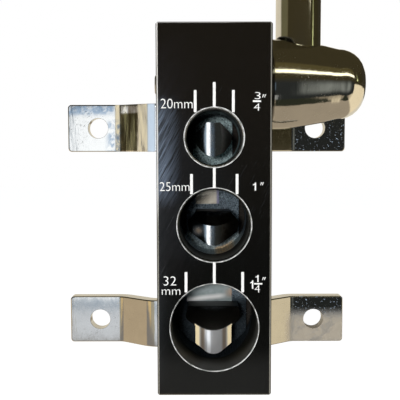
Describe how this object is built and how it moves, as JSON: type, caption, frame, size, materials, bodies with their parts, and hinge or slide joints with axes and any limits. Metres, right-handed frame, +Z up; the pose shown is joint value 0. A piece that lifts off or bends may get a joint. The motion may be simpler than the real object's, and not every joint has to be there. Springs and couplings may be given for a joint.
{
  "type": "tube notcher",
  "caption": "Wall-mounted manual tube notcher: a tall block with round ports, an inner plunger with ground punches and an upright side lever.",
  "frame": {"origin": "middle of the four ear holes, on the wall face that the ears lie against", "axes": "+Z up along the block, +Y into the wall (the ports face -Y), +X to the right towards the lever"},
  "size_m": [0.1674, 0.092, 0.606],
  "materials": {
    "block_black": "gloss black, finely scratched",
    "bright_chrome": "bright plated, a little uneven",
    "punch_steel": "ground bright",
    "plunger_dark": "milled, dark and oily",
    "machined_steel": "turned",
    "screw_steel": "zinc plated",
    "screw_black": "black oxide",
    "bush_bronze": "turned bronze",
    "grip_rubber": "matt black rubber"
  },
  "bodies": {
    "block": {"body_block": "block_black", "top_cap": "block_black", "cap_screws": "screw_steel", "main_bush": "bush_bronze", "tail_bush": "bush_bronze", "thrust_washer": "bush_bronze", "guide_key": "machined_steel", "key_screws": "screw_steel", "upper_bracket": "bright_chrome", "lower_bracket": "bright_chrome", "bracket_bolts": "screw_steel", "bracket_washers": "screw_steel"},
    "lever": {"cross_shaft": "machined_steel", "pin_bush": "bush_bronze", "hub": "bright_chrome", "hub_lock_screw": "screw_black", "lever_bar": "bright_chrome", "lever_grip": "grip_rubber", "end_washer": "screw_steel", "end_screw": "screw_steel"},
    "plunger": {"plunger": "plunger_dark", "punch_20": "punch_steel", "punch_25": "punch_steel", "punch_32": "punch_steel", "punch_screws": "screw_steel", "punch_dowels": "screw_steel"}
  },
  "joints": [
    {"name": "lever_turn", "type": "hinge", "parent": "block", "child": "lever", "pos_m": [0.0028, -0.049, 0.08], "axis": [1, 0, 0], "range_deg": [0, 100]},
    {"name": "plunger_slide", "type": "slide", "parent": "block", "child": "plunger", "axis": [0, 0, -1], "range_m": [0, 0.00996]}
  ],
  "couplings": [
    {"joint": "plunger_slide", "follows": "lever_turn", "m_per_rad": 0.0057058}
  ]
}
